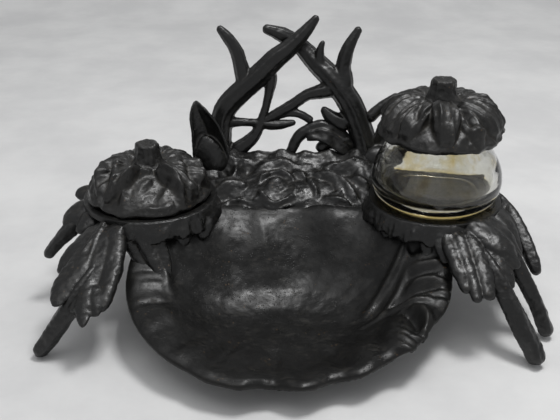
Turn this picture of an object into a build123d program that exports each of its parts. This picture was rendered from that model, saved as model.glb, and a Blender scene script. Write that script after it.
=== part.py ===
"""Double inkstand in black cast iron: a ruffled leaf tray for pens, two well seats among leaves and
twig legs, a rack of crossed antlers behind them, two loose lids and one glass ink pot.

Millimetres. +Z is up, +X is the reader's right, -Y is the front, where the tray is.
The origin is under the middle of the stand, on the surface that it stands on."""

import os
from math import cos, pi, sin

from build123d import *

# ---- driving dimensions ------------------------------------------------------------------------
WELL_X, WELL_Y = 74.0, 18.0  # centre of each well, left and right of the middle
RIM_Z = 54.0  # top of the left well's rim, which its lid rests on
LOW_RIM_Z = 52.6  # top of the right well's rim, which only holds the pot in place
LEDGE_Z = 51.5  # ledge inside the rim, which a glass pot rests on
SEAT_DEPTH = 18.0  # underside of a well below the left rim
RIM_R = 34.0  # outside of a well's rim
SEAT_R = 30.6  # inside of a well's rim
RECESS_R = 23.0  # mouth of the recess under the ledge
WALL = 3.0  # usual thickness of the iron

LOBES = 7  # rounded leaf lobes round a lid
LID_R = 31.5  # outside of a lid's edge
LID_H = 16.0  # top of a lid's dome above its edge
KNOB_TOP = 28.0  # top of a lid's stub knob above its edge
SPIGOT_R = 26.5  # outside of the ring under a lid that centres it on a seat or a pot's mouth
SPIGOT_WALL = 2.5
SPIGOT_DROP = 1.8  # how far the ring reaches below the lid's edge
SHELF_Z = 2.2  # shelf inside a lid, which lies on a pot's mouth, above the lid's edge
SHELF_W = 6.0  # how far the shelf reaches in from the ring's outside

POT_R = 33.2  # widest part of the glass pot
POT_FOOT_R = 26.5  # its flat foot, inside the well's rim
POT_H = 38.2  # foot to mouth
MOUTH_R = 23.6  # outside of the mouth's bead
NECK_BORE_R = 18.5  # the way into the pot
BEAD_R = 1.6  # half height of the mouth's bead
POT_FLOOR = 5.6  # thickness of the glass floor

RACK_Y = 60.0  # line on which the antler rack stands
RACK_FOOT_Z = 48.0  # underside of the rack's foot, on the ledge behind the fruit
RACK_FOOT_X, RACK_FOOT_Y, RACK_FOOT_H = 92.0, 12.0, 9.0  # width, depth and height of the foot
RACK_LEDGE_H = 6.0  # thickness of the ledge that the foot stands on
SCREW_X = 24.0  # the two rack screws stand this far either side of the middle
SCREW_R = 2.0
SCREW_GRIP = 6.0  # how far a screw reaches into the rack's foot, and through the ledge
SCREW_CLEARANCE = 0.3  # of the ledge's holes round a screw
SCREW_HEAD_R, SCREW_HEAD_H = 3.8, 2.6
SLOT_W, SLOT_DEPTH = 1.0, 1.2  # the driver slot across a screw's head

TRAY_Y = -34.0  # middle of the tray's floor
TRAY_HALF_X, TRAY_HALF_Y = 77.0, 55.0  # half width and half depth of the tray's rim
RUFFLES = 11  # waves round the tray's rim
RUFFLE_DEPTH = 2.2
RIM_TILT = 15.0  # degrees by which the tray's rim rises towards the back
FOOT_CUT = 0.0  # feet are ground flat at this height

os.makedirs("parts", exist_ok=True)


def save(piece, name):
    """Labels a finished piece and writes it as one STEP file."""
    piece.part.label = name
    export_step(piece.part, f"parts/{name}.step")


def section_plane(path, share, width_way):
    """The plane across a path at a share of its length, with its x axis along the limb's width."""
    along = path % share
    across = Vector(*width_way)
    across = across - along * across.dot(along)
    return Plane(origin=path @ share, x_dir=across, z_dir=along)


def limb(points, radii, flat=1.0, width_way=(1, 0, 0)):
    """A tapered twig, tine or leaf blade, made inside the open BuildPart: straight runs between round
    or flattened sections along a smooth path, with a rounded tip. radii are half widths, at even
    shares of the path."""
    with BuildLine(mode=Mode.PRIVATE) as spine:
        Spline(*points)
    path = spine.line
    sections = 2 * len(radii) - 1
    with BuildPart(mode=Mode.PRIVATE) as branch:
        for step in range(sections):
            radius = (radii[step // 2] + radii[(step + 1) // 2]) / 2
            with BuildSketch(section_plane(path, step / (sections - 1), width_way)):
                Ellipse(radius, radius * flat)
        tip = section_plane(path, 1, width_way)
        for reach, share in ((0.5, 0.86), (0.85, 0.5)):
            with BuildSketch(tip.offset(reach * radii[-1])):
                Ellipse(radii[-1] * share, radii[-1] * share * flat)
        loft(ruled=True)
    add(branch.part)


def mirrored(points, side):
    """The same path on the left (side -1) or the right (side 1)."""
    return [(side * x, y, z) for x, y, z in points]


def ground_flat():
    """Cuts whatever reaches below the feet's flat ends."""
    with Locations((0, 0, FOOT_CUT)):
        Box(400, 400, 40, align=(Align.CENTER, Align.CENTER, Align.MAX), mode=Mode.SUBTRACT)


# ---- pen tray ----------------------------------------------------------------------------------
def ruffled_outline(half_x, half_y, depth, count=66):
    """Closed outline of the leaf tray: an oval whose edge swings in and out."""
    points = []
    for step in range(count):
        turn = 2 * pi * step / count
        swing = 1 + depth / half_x * cos(RUFFLES * turn)
        points.append((half_x * swing * cos(turn), half_y * swing * sin(turn)))
    return points


def tray_body(levels):
    """A bowl-shaped solid lofted through tilted ruffled outlines, for the tray or its hollow.
    levels holds (middle_y, z, tilt, half_x, half_y, ruffle depth) from the floor up."""
    with BuildPart(mode=Mode.PRIVATE) as body:
        for middle_y, z, tilt, half_x, half_y, depth in levels:
            plane = Plane((0, middle_y, z)).rotated((tilt, 0, 0))
            with BuildSketch(plane):
                with BuildLine():
                    Spline(*ruffled_outline(half_x, half_y, depth), periodic=True)
                make_face()
        loft()
    return body.part


with BuildPart() as pen_tray:
    outside = tray_body(
        [
            (TRAY_Y, 5.0, 2.0, 36.0, 26.0, 0.0),
            (TRAY_Y - 1, 10.0, 6.0, 58.0, 42.0, 0.6),
            (TRAY_Y - 2, 19.0, 11.0, 71.0, 51.0, 1.4),
            (TRAY_Y - 3, 30.5, RIM_TILT, TRAY_HALF_X + 3, TRAY_HALF_Y + 4, RUFFLE_DEPTH),
        ]
    )
    hollow = tray_body(
        [
            (TRAY_Y, 8.5, 2.0, 34.0, 24.0, 0.0),
            (TRAY_Y - 1, 13.0, 6.0, 54.5, 39.0, 0.6),
            (TRAY_Y - 2, 22.0, 11.0, 68.0, 48.0, 1.4),
            (TRAY_Y - 3, 36.0, RIM_TILT, TRAY_HALF_X + 1.5, TRAY_HALF_Y + 2.5, RUFFLE_DEPTH),
        ]
    )
    add(outside)
    add(hollow, mode=Mode.SUBTRACT)
save(pen_tray, "pen_tray")


# ---- well seats --------------------------------------------------------------------------------
def well_seat(side, rim_z):
    """A saucer with a rim, a ledge for the pot and a recess under it."""
    bottom = RIM_Z - SEAT_DEPTH
    with BuildPart() as seat:
        with BuildSketch(Plane.XZ):
            with BuildLine():
                Polyline(
                    (0, bottom),
                    (12, bottom + 0.6),
                    (20, bottom + 2.8),
                    (26, bottom + 7.0),
                    (31, bottom + 12.0),
                    (RIM_R, rim_z - WALL),
                    (RIM_R, rim_z),
                    (SEAT_R, rim_z),
                    (SEAT_R, LEDGE_Z),
                    (RECESS_R, LEDGE_Z),
                    (20.5, LEDGE_Z - 6.5),
                    (11, LEDGE_Z - 10.2),
                    (0, LEDGE_Z - 10.8),
                    close=True,
                )
            make_face()
        revolve(axis=Axis.Z)
    with BuildPart() as placed:
        with Locations((side * WELL_X, WELL_Y, 0)):
            add(seat.part)
        round_edge = placed.edges().filter_by(GeomType.CIRCLE).group_by(Axis.Z)[-1]
        fillet(round_edge, radius=0.5)
    return placed


left_well_seat = well_seat(-1, RIM_Z)
save(left_well_seat, "left_well_seat")
right_well_seat = well_seat(1, LOW_RIM_Z)
save(right_well_seat, "right_well_seat")

# ---- fruit mound that joins the wells, the tray and the rack -------------------------------------
FRUITS = [  # x, y, z, radius of each fruit on the mound
    (-8.0, 22.0, 51.0, 9.0),
    (-23.0, 27.0, 50.0, 7.0),
    (11.0, 28.0, 50.0, 7.5),
    (-35.0, 24.0, 47.0, 6.0),
    (27.0, 23.0, 48.0, 6.5),
    (0.0, 16.0, 46.0, 6.0),
    (-15.0, 16.0, 46.0, 6.0),
]
with BuildPart() as fruit_mound:
    for half_x, half_y, middle_y, z in (
        (36, 14, 37, 32),
        (47, 19, 36, 41),
        (44, 21, 35, 49),
        (32, 15, 35, 55),
    ):
        with BuildSketch(Plane((0, middle_y, z))):
            Ellipse(half_x, half_y)
    loft()
    with Locations((0, RACK_Y - 3, RACK_FOOT_Z)):
        Box(94, 22, RACK_LEDGE_H, align=(Align.CENTER, Align.CENTER, Align.MAX))
    with Locations((0, RACK_Y, RACK_FOOT_Z)):  # room for the rack's foot
        Box(100, RACK_FOOT_Y + 0.6, 20, align=(Align.CENTER, Align.CENTER, Align.MIN), mode=Mode.SUBTRACT)
    for x, y, z, radius in FRUITS:
        with Locations((x, y, z)):
            Sphere(radius)
    with Locations((-SCREW_X, RACK_Y, 0), (SCREW_X, RACK_Y, 0)):
        Cylinder(SCREW_R + SCREW_CLEARANCE, 120, mode=Mode.SUBTRACT)
save(fruit_mound, "fruit_mound")


# ---- legs and twigs ------------------------------------------------------------------------------
def leg(points, radii, side=1):
    with BuildPart() as made:
        limb(mirrored(points, side), radii)
        ground_flat()
    return made


REAR_LEG = [(66, 42, 42), (68, 55, 36), (72, 74, 19), (75, 93, 2)]
LEG_RADII = [6.0, 5.4, 4.8, 4.4]
left_front_leg = leg([(-86, -4, 45), (-97, -24, 36), (-109, -38, 19), (-121, -50, 2)], LEG_RADII)
save(left_front_leg, "left_front_leg")
right_front_leg = leg([(86, -6, 45), (93, -26, 37), (104, -44, 19), (115, -59, 2)], LEG_RADII)
save(right_front_leg, "right_front_leg")
right_outer_leg = leg([(96, 2, 44), (108, -12, 35), (119, -26, 17), (125, -35, 2)], [5.2, 4.8, 4.4, 4.0])
save(right_outer_leg, "right_outer_leg")
left_rear_leg = leg(REAR_LEG, LEG_RADII, -1)
save(left_rear_leg, "left_rear_leg")
right_rear_leg = leg(REAR_LEG, LEG_RADII)
save(right_rear_leg, "right_rear_leg")

with BuildPart() as left_side_twig:
    limb([(-98, 16, 43), (-110, 11, 43), (-120, 6, 36), (-127, 2, 25)], [5.0, 4.4, 3.8, 3.0], 1, (0, 1, 0))
save(left_side_twig, "left_side_twig")
with BuildPart() as right_side_twig:
    limb([(98, 27, 43), (109, 21, 44), (117, 5, 38), (122, -16, 25)], [5.0, 4.4, 3.8, 3.0], 1, (0, 0, 1))
save(right_side_twig, "right_side_twig")

# ---- leaves --------------------------------------------------------------------------------------
with BuildPart() as left_front_leaf:
    limb([(-86, -6, 46), (-91, -24, 40), (-96, -38, 28), (-100, -47, 15)], [9, 11, 9, 4], 0.35)
    limb([(-93, -12, 44), (-104, -22, 37), (-114, -31, 25)], [8, 8, 4], 0.35, (1, -1, 0))
    limb([(-83, -9, 43), (-82, -27, 35), (-86, -41, 20)], [6, 7, 4], 0.5)
save(left_front_leaf, "left_front_leaf")
with BuildPart() as right_front_leaf:
    limb([(83, -8, 46), (86, -22, 39), (89, -32, 27), (91, -36, 19)], [8, 10, 9, 5], 0.3)
    limb([(88, -6, 46), (97, -16, 44), (106, -23, 37), (113, -28, 29)], [8, 9, 8, 4], 0.3, (1, -2, 0))
    limb([(94, -4, 46), (103, -9, 45), (113, -18, 35)], [6, 7, 4], 0.35, (1, -2, 0))
save(right_front_leaf, "right_front_leaf")
with BuildPart() as left_side_leaf:
    limb([(-98, 20, 45), (-107, 25, 47), (-114, 30, 48), (-120, 34, 46)], [8, 10, 8, 4], 0.3, (0, 1, 0))
    limb([(-99, 8, 43), (-107, 6, 43), (-114, 2, 38)], [7, 8, 5], 0.3, (0, 1, 0))
save(left_side_leaf, "left_side_leaf")
with BuildPart() as right_side_leaf:
    limb([(98, 22, 45), (106, 30, 47), (112, 37, 46)], [8, 9, 4], 0.3, (-1, 1, 0))
    limb([(99, 12, 43), (107, 9, 43), (114, 3, 38)], [7, 8, 5], 0.3, (0, 1, 0))
save(right_side_leaf, "right_side_leaf")


def tray_leaf(side):
    """Two leaf tips that hang from a well's rim onto the tray's back wall."""
    with BuildPart() as made:
        limb(mirrored([(45, 24, 48), (43, 14, 42), (41, 3, 32)], side), [7, 6.5, 3], 0.4)
        limb(mirrored([(57, 5, 42), (57, 1, 38), (56, -4, 33)], side), [6, 6, 3], 0.4)
    return made


left_tray_leaf = tray_leaf(-1)
save(left_tray_leaf, "left_tray_leaf")
right_tray_leaf = tray_leaf(1)
save(right_tray_leaf, "right_tray_leaf")

# ---- antler rack ---------------------------------------------------------------------------------
with BuildPart() as left_antler:
    beam = [
        (-41, 60, 52),
        (-40, 64, 76),
        (-31, 66, 90),
        (-16, 69, 104),
        (-2, 71, 116),
        (7, 71, 124),
        (14, 72, 133),
    ]
    inner_tine = [(-12, 69, 102), (-13, 67, 90), (-17, 65, 76), (-24, 62, 65), (-30, 60, 57)]
    limb(beam, [6.0, 6.3, 6.3, 6.0, 5.0, 3.8, 2.2])
    limb([(-27, 67, 94), (-28, 68, 108), (-33, 70, 120), (-40, 71, 128)], [4.6, 4.1, 3.4, 1.9])
    limb(inner_tine, [3.6, 2.4, 2.6, 3.4, 4.2])
    limb([(-40, 64, 75), (-28, 64, 76), (-16, 64, 76), (3, 64, 77)], [3.8, 2.6, 2.5, 2.0])
save(left_antler, "left_antler")

with BuildPart() as right_antler:
    beam = [
        (42, 60, 52),
        (38, 64, 76),
        (31, 67, 89),
        (20, 71, 102),
        (6, 76, 115),
        (-4, 78, 121),
        (-16, 78, 127),
    ]
    limb(beam, [6.8, 6.8, 6.5, 6.0, 4.9, 4.2, 2.4])
    limb([(29, 67, 95), (28, 69, 108), (31, 71, 118), (37, 72, 128)], [5.0, 4.1, 3.4, 2.0])
    limb([(17, 71, 103), (15, 72, 113), (17, 72, 121)], [3.2, 2.0, 1.2])
    limb([(22, 68, 94), (8, 67, 91), (-2, 69, 85), (-12, 69, 79)], [4.2, 3.1, 3.0, 2.6])
    limb([(36, 64, 73), (26, 64, 77), (17, 65, 84)], [5.4, 4.2, 1.8])
save(right_antler, "right_antler")

with BuildPart() as scroll_leaf:
    arch = [(-3, 59, 55), (1, 60, 63), (8, 61, 71), (19, 62, 72), (29, 61, 65), (34, 60, 57)]
    limb(arch, [3.6, 3.2, 3.8, 4.2, 4.2, 3.8], 0.8)
    limb([(28, 60, 62), (22, 58, 63), (17, 57, 60)], [3.2, 3.6, 3.8])
save(scroll_leaf, "scroll_leaf")


with BuildPart() as left_upright_leaf:
    limb([(-44, 57, 50), (-45, 54, 66), (-49, 53, 80), (-52, 53, 91)], [9.5, 9.0, 6.0, 2.2], 0.42)
save(left_upright_leaf, "left_upright_leaf")
with BuildPart() as right_rack_leaf:
    limb([(44, 60, 51), (46, 62, 60), (50, 64, 72), (58, 66, 84)], [9.0, 8.0, 5.0, 3.0], 0.5)
save(right_rack_leaf, "right_rack_leaf")

with BuildPart() as rack_foot:
    with Locations((0, RACK_Y, RACK_FOOT_Z)):
        Box(RACK_FOOT_X, RACK_FOOT_Y, RACK_FOOT_H, align=(Align.CENTER, Align.CENTER, Align.MIN))
    fillet(rack_foot.edges().filter_by(Axis.X).group_by(Axis.Z)[-1], radius=3.5)
    with Locations((-SCREW_X, RACK_Y, RACK_FOOT_Z), (SCREW_X, RACK_Y, RACK_FOOT_Z)):
        Cylinder(SCREW_R, 2 * SCREW_GRIP + 1, mode=Mode.SUBTRACT)
save(rack_foot, "rack_foot")

with BuildPart() as rack_screws:
    for x in (-SCREW_X, SCREW_X):
        with Locations((x, RACK_Y, RACK_FOOT_Z - RACK_LEDGE_H)):
            Cylinder(SCREW_R, RACK_LEDGE_H + SCREW_GRIP, align=(Align.CENTER, Align.CENTER, Align.MIN))
            Cylinder(SCREW_HEAD_R, SCREW_HEAD_H, align=(Align.CENTER, Align.CENTER, Align.MAX))
        with Locations((x, RACK_Y, RACK_FOOT_Z - RACK_LEDGE_H - SCREW_HEAD_H)):
            slot_align = (Align.CENTER, Align.CENTER, Align.MIN)
            Box(3 * SCREW_HEAD_R, SLOT_W, SLOT_DEPTH, align=slot_align, mode=Mode.SUBTRACT)
save(rack_screws, "rack_screws")


# ---- lids ----------------------------------------------------------------------------------------
def lid(x, y, edge_z):
    """A domed lid with leaf lobes, a stub knob and a centring ring underneath."""
    shelf_in = SPIGOT_R - SHELF_W
    ring_in = SPIGOT_R - SPIGOT_WALL
    with BuildPart() as made:
        with BuildSketch(Plane(origin=(x, y, edge_z), x_dir=(1, 0, 0), z_dir=(0, -1, 0))):
            with BuildLine():
                dome = Spline((LID_R, 1.6), (25.5, 8.4), (15, LID_H - 2.4), (0, LID_H))
                Polyline(
                    dome @ 1,
                    (0, LID_H - WALL),
                    (13, LID_H - 2.4 - WALL),
                    (shelf_in, 7.0),
                    (shelf_in, SHELF_Z),
                    (ring_in, SHELF_Z),
                    (ring_in, -SPIGOT_DROP),
                    (SPIGOT_R, -SPIGOT_DROP),
                    (SPIGOT_R, 0),
                    (LID_R, 0),
                    dome @ 0,
                )
            make_face()
        revolve(axis=Axis((x, y, 0), (0, 0, 1)))
        for step in range(LOBES):
            turn = 2 * pi * (step + 0.25) / LOBES
            with Locations((x + 18.5 * cos(turn), y + 18.5 * sin(turn), edge_z + 8.2)):
                Sphere(5.6)
        with Locations((x, y, edge_z + LID_H - 2.0)):
            Cone(7.4, 5.0, KNOB_TOP - LID_H + 2.0, align=(Align.CENTER, Align.CENTER, Align.MIN))
    return made


left_lid = lid(-WELL_X, WELL_Y, RIM_Z)
save(left_lid, "left_lid")
right_lid = lid(WELL_X, WELL_Y, LEDGE_Z + POT_H - SHELF_Z)
save(right_lid, "right_lid")

# ---- glass pot -----------------------------------------------------------------------------------
with BuildPart() as ink_pot:
    with BuildSketch(Plane(origin=(WELL_X, WELL_Y, LEDGE_Z), x_dir=(1, 0, 0), z_dir=(0, -1, 0))):
        with BuildLine():
            foot = Line((0, 0), (POT_FOOT_R, 0))
            bead_low = (MOUTH_R - BEAD_R, POT_H - 2 * BEAD_R)
            widest = (POT_R, 12.0)
            shoulder = (POT_R - 3.0, 23.0)
            outside = Spline(foot @ 1, (29.6, 2.3), (32.2, 6.0), widest, shoulder, (24.4, 31.5), bead_low)
            mouth = ThreePointArc(outside @ 1, (MOUTH_R, POT_H - BEAD_R), (MOUTH_R - BEAD_R, POT_H))
            lip = Line(mouth @ 1, (NECK_BORE_R, POT_H))
            neck = Line(lip @ 1, (NECK_BORE_R, 33.0))
            inside = Spline(neck @ 1, (24.0, 27.0), (28.6, 19.0), (28.8, 11.0), (24.0, 6.4), (0, POT_FLOOR))
            Line(inside @ 1, foot @ 0)
        make_face()
    revolve(axis=Axis((WELL_X, WELL_Y, 0), (0, 0, 1)))
save(ink_pot, "ink_pot")
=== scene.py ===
"""A black cast iron double inkstand on a pale cloth: ruffled leaf tray, antler pen rack, leaf and
twig legs, two loose lids and a clear glass pot. Lengths in this script are millimetres until a
mesh is made; Blender's own unit is the metre."""

import math

import bpy
import numpy as np
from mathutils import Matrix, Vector
from mathutils.bvhtree import BVHTree


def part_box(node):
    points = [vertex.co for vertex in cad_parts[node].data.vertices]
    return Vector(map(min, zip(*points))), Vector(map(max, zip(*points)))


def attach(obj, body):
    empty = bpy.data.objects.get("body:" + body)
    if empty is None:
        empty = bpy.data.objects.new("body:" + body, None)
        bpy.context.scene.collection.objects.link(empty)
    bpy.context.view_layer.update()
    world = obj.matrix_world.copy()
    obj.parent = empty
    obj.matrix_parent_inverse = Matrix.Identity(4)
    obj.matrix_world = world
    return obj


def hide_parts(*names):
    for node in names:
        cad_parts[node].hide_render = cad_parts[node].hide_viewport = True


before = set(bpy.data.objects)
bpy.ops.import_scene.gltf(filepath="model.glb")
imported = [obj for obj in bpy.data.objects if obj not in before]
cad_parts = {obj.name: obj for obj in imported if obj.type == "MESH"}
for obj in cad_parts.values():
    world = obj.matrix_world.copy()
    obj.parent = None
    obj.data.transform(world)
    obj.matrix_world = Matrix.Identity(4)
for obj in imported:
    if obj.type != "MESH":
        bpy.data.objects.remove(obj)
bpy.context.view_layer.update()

MM = 0.001

# ---- camera ------------------------------------------------------------------------------------
EYE = (-6.4, -377.0, 237.0)  # where the viewer's eye is
LOOK_DOWN = 26.0  # degrees below level
LENS_MM = 53.7

camera_data = bpy.data.cameras.new("desk_camera")
camera_data.lens = LENS_MM
camera_data.sensor_width = 36.0
camera = bpy.data.objects.new("desk_camera", camera_data)
camera.location = Vector(EYE) * MM
camera.rotation_euler = (math.radians(90 - LOOK_DOWN), 0, 0)
bpy.context.scene.collection.objects.link(camera)
bpy.context.scene.camera = camera


# ---- forms: every piece is a heap of closed forms that is then skinned over -----------------------
def heap():
    """An empty heap: a list of vertex blocks and a list of faces."""
    return {"points": [], "faces": [], "count": 0}


def drop(clay, points, faces):
    """Adds one closed form to a heap."""
    start = clay["count"]
    clay["points"].append(np.asarray(points, float))
    clay["faces"].extend(tuple(start + corner for corner in face) for face in faces)
    clay["count"] += len(points)


def spread(points, count):
    """A smooth line through control points of any dimension, as count evenly parameterised rows."""
    rows = np.asarray(points, float)
    if rows.ndim == 1:
        rows = rows[:, None]
    padded = np.vstack([2 * rows[0] - rows[1], rows, 2 * rows[-1] - rows[-2]])
    place = np.linspace(0, len(rows) - 1, count)
    span = np.minimum(place.astype(int), len(rows) - 2)
    share = (place - span)[:, None]
    before, start, end, after = (padded[span + step] for step in range(4))
    return 0.5 * (
        2 * start
        + (end - before) * share
        + (2 * before - 5 * start + 4 * end - after) * share**2
        + (3 * start - before - 3 * end + after) * share**3
    )


def unit(rows):
    """Vectors scaled to length 1."""
    return rows / np.maximum(np.linalg.norm(rows, axis=-1, keepdims=True), 1e-9)


def ring_faces(rings, ring):
    """Quads between successive rings of equal size, with one cap at each end."""
    faces = []
    for row in range(rings - 1):
        for step in range(ring):
            after = (step + 1) % ring
            faces.append(
                (row * ring + step, row * ring + after, (row + 1) * ring + after, (row + 1) * ring + step)
            )
    faces.append(tuple(range(ring - 1, -1, -1)))
    faces.append(tuple((rings - 1) * ring + step for step in range(ring)))
    return faces


def closed_ring_faces(rings, ring):
    """Quads between successive rings, and from the last ring back to the first."""
    faces = []
    for row in range(rings):
        below = (row + 1) % rings
        for step in range(ring):
            after = (step + 1) % ring
            faces.append((row * ring + step, row * ring + after, below * ring + after, below * ring + step))
    return faces


def stalk(clay, points, radii, flat=1.0, way=(0, -1, 0), grooves=0, depth=0.0, turns=0.0, blunt=1.0,
          ring=28):
    """A twig, tine, roll or finger: round or flattened across `way`, with rounded ends.
    grooves run along it, depth is their share of the radius, turns twists them."""
    rough = spread(points, 40)
    length = np.linalg.norm(np.diff(rough, axis=0), axis=1).sum()
    count = max(16, int(length / 0.9))
    path = spread(points, count)
    radius = np.maximum(spread(radii, count)[:, 0], 0.2)
    along = unit(np.gradient(path, axis=0))
    out = np.asarray(way, float)
    out = unit(out - along * (along @ out)[:, None])
    side = np.cross(along, out)
    walked = np.concatenate([[0], np.cumsum(np.linalg.norm(np.diff(path, axis=0), axis=1))])
    for distance in (walked, walked[-1] - walked):
        near = np.clip(distance / (radius * blunt), 0.0, 1.0)
        radius = radius * np.sqrt(np.maximum(1 - (1 - near) ** 2, 0.0025))
    angle = np.linspace(0, 2 * math.pi, ring, endpoint=False)
    twist = turns * 2 * math.pi * walked / max(walked[-1], 1e-6)
    wave = np.cos(grooves * angle[None, :] + twist[:, None]) if grooves else np.zeros((count, ring))
    reach = radius[:, None] * (1 + depth * wave)
    rows = (
        path[:, None, :]
        + side[:, None, :] * (reach * np.cos(angle))[:, :, None]
        + out[:, None, :] * (reach * flat * np.sin(angle))[:, :, None]
    )
    drop(clay, rows.reshape(-1, 3), ring_faces(count, ring))


def blade(clay, points, widths, up, thick, cup, rib, veins=0, vein=0.0, lobes=0, lobe=0.0, roll=0.0):
    """A leaf blade along a spine. up is the way its face looks; cup bends its edges up by that share
    of its width; rib and veins stand on the face; lobes scallop its edges; roll thickens them."""
    count = 72
    across = 41
    path = spread(points, count)
    width = np.maximum(spread(widths, count)[:, 0], 0.25)
    along = unit(np.gradient(path, axis=0))
    face = np.asarray(up, float)
    face = unit(face - along * (along @ face)[:, None])
    side = np.cross(face, along)
    share = np.linspace(0, 1, count)[:, None]
    v = np.linspace(-1, 1, across)[None, :]
    edge = 1 + lobe * np.cos(2 * math.pi * (lobes * share + 0.25 * np.sign(v)))
    reach = width[:, None] * (edge if lobes else 1.0) * v
    rise = cup * width[:, None] * v**2
    rise = rise + rib * np.exp(-((v / 0.13) ** 2)) * np.clip(4 * (1 - share), 0, 1)
    if veins:
        slant = veins * share * 2 * math.pi - np.abs(v) * 3.2
        rise = rise + vein * np.cos(slant) * np.clip(np.abs(v) * 3, 0, 1) * (1 - np.abs(v) ** 6)
    half = 0.5 * thick * np.sqrt(np.maximum(1 - np.abs(v) ** 6, 0.02))
    half = half + roll * np.exp(-(((np.abs(v) - 0.88) / 0.12) ** 2))
    half = half * np.sqrt(np.clip(np.minimum(share * 8, (1 - share) * 10 + 0.06), 0, 1))
    centre = path[:, None, :] + side[:, None, :] * reach[:, :, None]
    top = centre + face[:, None, :] * (rise + half)[:, :, None]
    under = centre + face[:, None, :] * (rise - half)[:, :, None]
    rows = np.concatenate([top, under[:, ::-1, :]], axis=1)
    drop(clay, rows.reshape(-1, 3), ring_faces(count, across * 2))


POLE = 0.03  # radians left open at a ball's poles, for its end caps


def ball(clay, centre, radii, rings=24, ring=36):
    """An ellipsoid, level with the stand."""
    polar = np.linspace(POLE, math.pi - POLE, rings)[:, None]
    angle = np.linspace(0, 2 * math.pi, ring, endpoint=False)[None, :]
    rows = np.stack(
        [
            radii[0] * np.sin(polar) * np.cos(angle),
            radii[1] * np.sin(polar) * np.sin(angle),
            radii[2] * np.cos(polar) * np.ones_like(angle),
        ],
        axis=2,
    ).reshape(-1, 3)
    drop(clay, rows + np.asarray(centre, float), ring_faces(rings, ring))


def slab(clay, top, thickness):
    """A sheet of iron, closed round its edges, from its upper face as a grid of points."""
    down = np.gradient(top, axis=0)
    across = np.gradient(top, axis=1)
    normal = unit(np.cross(across, down))
    normal = np.where(normal[:, :, 2:3] < 0, -normal, normal)
    under = top - normal * np.asarray(thickness)[..., None]
    rows = np.concatenate([top, under[:, ::-1]], axis=1)
    drop(clay, rows.reshape(-1, 3), ring_faces(rows.shape[0], rows.shape[1]))


def dress(thing, node, body, material):
    """Paints a finished mesh, puts it in the place of its CAD node and on its body."""
    thing.data.shade_smooth()
    thing.data.materials.clear()
    thing.data.materials.append(material)
    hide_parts(node)
    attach(thing, body)


def mesh_object(name, points, faces):
    """A mesh from points in millimetres."""
    mesh = bpy.data.meshes.new(name)
    mesh.from_pydata([tuple(point) for point in np.asarray(points) * MM], [], faces)
    mesh.update()
    thing = bpy.data.objects.new(name, mesh)
    bpy.context.scene.collection.objects.link(thing)
    return thing


def cloud(name, size, depth=2):
    """A procedural clouds pattern for a displacement, size in millimetres."""
    pattern = bpy.data.textures.new(name, "CLOUDS")
    pattern.noise_scale = size * MM
    pattern.noise_depth = depth
    return pattern


SWELL = cloud("casting_swell", 9.0)
GRIT = cloud("casting_grit", 2.2, 3)


def settle(thing):
    """Applies every modifier, so that the mesh itself has the shape."""
    graph = bpy.context.evaluated_depsgraph_get()
    graph.update()
    done = bpy.data.meshes.new_from_object(thing.evaluated_get(graph))
    thing.modifiers.clear()
    old = thing.data
    thing.data = done
    done.name = old.name
    bpy.data.meshes.remove(old)


def roughen(thing, swell, grit):
    """The uneven skin of a sand casting: slow swells and fine grit, in millimetres."""
    for pattern, amount in ((SWELL, swell), (GRIT, grit)):
        if amount:
            bumps = thing.modifiers.new("bumps", "DISPLACE")
            bumps.texture = pattern
            bumps.texture_coords = "LOCAL"
            bumps.strength = amount * MM
            bumps.mid_level = 0.5


def cast(name, clay, node, material, voxel=0.75, soften=3, swell=0.7, grit=0.35):
    """Skins a heap over as one region of the stand's casting, and puts it in its node's place."""
    thing = mesh_object(name, np.concatenate(clay["points"]), clay["faces"])
    wrap = thing.modifiers.new("wrap", "REMESH")
    wrap.mode = "VOXEL"
    wrap.voxel_size = voxel * MM
    ease = thing.modifiers.new("ease", "SMOOTH")
    ease.factor = 0.5
    ease.iterations = soften
    roughen(thing, swell, grit)
    settle(thing)
    dress(thing, node, "stand", material)


# ---- finishes ------------------------------------------------------------------------------------
def new_group(name, inputs, outputs):
    """A shader node group with float inputs and outputs; returns it with its two end nodes."""
    group = bpy.data.node_groups.new(name, "ShaderNodeTree")
    for label, value in inputs.items():
        socket = group.interface.new_socket(label, in_out="INPUT", socket_type="NodeSocketFloat")
        socket.default_value = value
    for label in outputs:
        group.interface.new_socket(label, in_out="OUTPUT", socket_type="NodeSocketFloat")
    return group, group.nodes.new("NodeGroupInput"), group.nodes.new("NodeGroupOutput")


def put(tree, kind, **settings):
    """Adds a node to a material or group and sets its options."""
    node = tree.nodes.new(kind)
    for label, value in settings.items():
        setattr(node, label, value)
    return node


def place_mm(tree):
    """The point on the piece, in millimetres."""
    place = put(tree, "ShaderNodeTexCoord")
    scale = put(tree, "ShaderNodeVectorMath", operation="SCALE")
    scale.inputs["Scale"].default_value = 1 / MM
    tree.links.new(place.outputs["Object"], scale.inputs[0])
    return scale.outputs[0]


def maths(tree, how, first, second, clamp=False):
    """One sum on masks or numbers."""
    node = put(tree, "ShaderNodeMath", operation=how, use_clamp=clamp)
    for socket, value in zip(node.inputs, (first, second)):
        if isinstance(value, (int, float)):
            socket.default_value = value
        else:
            tree.links.new(value, socket)
    return node.outputs[0]


def between(tree, value, low, high, to_low=0.0, to_high=1.0):
    """A value eased from to_low to to_high as it goes from low to high."""
    node = put(tree, "ShaderNodeMapRange", clamp=True, interpolation_type="SMOOTHSTEP")
    for label, amount in (("From Min", low), ("From Max", high), ("To Min", to_low), ("To Max", to_high)):
        node.inputs[label].default_value = amount
    tree.links.new(value, node.inputs["Value"])
    return node.outputs["Result"]


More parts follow.
